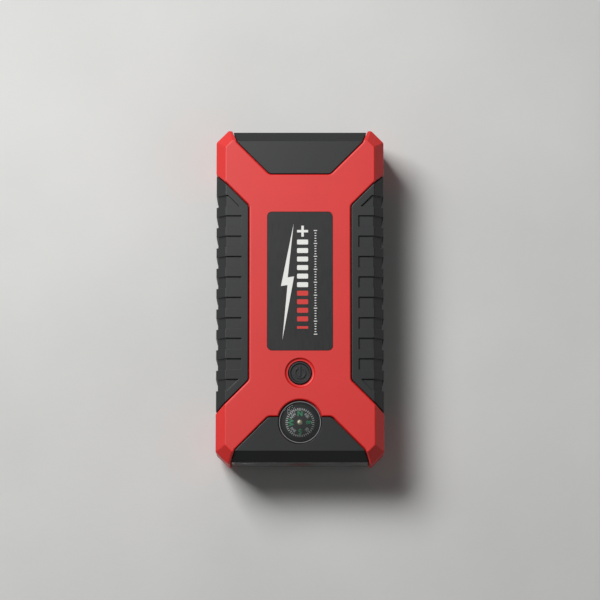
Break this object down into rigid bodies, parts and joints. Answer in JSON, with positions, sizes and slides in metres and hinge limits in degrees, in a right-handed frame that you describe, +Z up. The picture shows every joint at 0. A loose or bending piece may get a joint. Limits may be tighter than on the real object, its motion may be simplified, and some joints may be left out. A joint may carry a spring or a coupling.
{
  "type": "jump starter pack",
  "caption": "Pocket jump starter: ribbed two-shell case with power button, button compass, lamp window, capped starting socket and hinged port cover.",
  "frame": {"origin": "middle of the footprint, on the surface that the feet stand on", "axes": "+Z up, +Y along the case towards the port end, -Y the lamp and compass end, +X to the right seen from above with the lamp end near"},
  "size_m": [0.085, 0.17, 0.0398],
  "materials": {
    "red_plastic": "fine moulded grain",
    "black_rubber": "fine soft-touch grain",
    "label_grey": "satin printed plate",
    "foot_rubber": "matte",
    "dark_steel": "black oxide",
    "bright_steel": "bright zinc",
    "button_plastic": "satin",
    "black_plastic": "moulded satin",
    "gloss_black": "polished",
    "brass_metal": "turned",
    "card_black": "printed dial",
    "clear_lens": "polished clear",
    "red_lens": "polished red",
    "bowl_chrome": "mirror",
    "lamp_clear": "clear resin",
    "board_green": "solder mask",
    "tongue_blue": "moulded",
    "tin_metal": "tin plated",
    "socket_blue": "moulded",
    "gold_contact": "plated",
    "cell_foil": "laminated foil",
    "strap_film": "film",
    "can_black": "sleeved can",
    "lead_red": "silicone",
    "lead_black": "silicone"
  },
  "bodies": {
    "case": {"upper_shell": "red_plastic", "lower_shell": "red_plastic", "grip_left": "black_rubber", "grip_right": "black_rubber", "rear_trim_upper": "black_rubber", "rear_trim_lower": "black_rubber", "front_trim_lower": "black_rubber", "front_trim_upper": "black_rubber", "label_plate": "label_grey", "rating_plate": "label_grey", "feet": "foot_rubber", "case_screws": "dark_steel", "switch_housing": "black_plastic", "switch_board": "board_green", "switch_screws": "bright_steel", "compass_housing": "gloss_black", "compass_pivot": "brass_metal", "compass_lens": "clear_lens", "compass_ring": "gloss_black", "lamp_window": "clear_lens", "warning_lens": "red_lens", "lamp_carrier": "black_plastic", "reflector_left": "bowl_chrome", "reflector_right": "bowl_chrome", "lamp_left": "lamp_clear", "lamp_right": "lamp_clear", "warning_lamp": "lamp_clear", "lamp_board": "board_green", "lamp_screws": "bright_steel", "port_panel": "black_plastic", "usb_shell_left": "tin_metal", "usb_shell_right": "tin_metal", "usb_insert_left": "tongue_blue", "usb_insert_right": "tongue_blue", "dc_jack_lower": "black_plastic", "dc_jack_upper": "black_plastic", "dc_pin_lower": "tin_metal", "dc_pin_upper": "tin_metal", "jump_socket": "socket_blue", "jump_contact_positive": "gold_contact", "jump_contact_negative": "gold_contact", "socket_cap_anchor": "black_rubber", "cover_hinge_pin": "bright_steel", "level_window": "clear_lens", "level_board": "board_green", "cell_1": "cell_foil", "cell_2": "cell_foil", "cell_3": "cell_foil", "battery_straps": "strap_film", "main_board": "board_green", "capacitors": "can_black", "positive_lead": "lead_red", "negative_lead": "lead_black", "lamp_lead": "lead_black", "board_screws": "bright_steel"},
    "button": {"power_button": "button_plastic", "switch_plunger": "button_plastic"},
    "compass_dial": {"compass_card": "card_black"},
    "cover": {"port_cover": "black_rubber"},
    "cap": {"socket_cap": "black_rubber"}
  },
  "joints": [
    {"name": "button_press", "type": "slide", "parent": "case", "child": "button", "axis": [0, 0, -1], "range_m": [0, 0.0006], "stiffness_N_per_m": 400, "springref_m": -0.0005},
    {"name": "dial_turn", "type": "hinge", "parent": "case", "child": "compass_dial", "pos_m": [0, -0.0644, 0.0368], "axis": [0, 0, 1], "continuous": true},
    {"name": "cover_swing", "type": "hinge", "parent": "case", "child": "cover", "pos_m": [0.0124, 0.08265, 0.01215], "axis": [-1, 0, 0], "range_deg": [0, 95]},
    {"name": "cap_swing", "type": "hinge", "parent": "case", "child": "cap", "pos_m": [-0.02937, 0.08395, 0.0189], "axis": [0, 0, 1], "range_deg": [0, 115]}
  ]
}
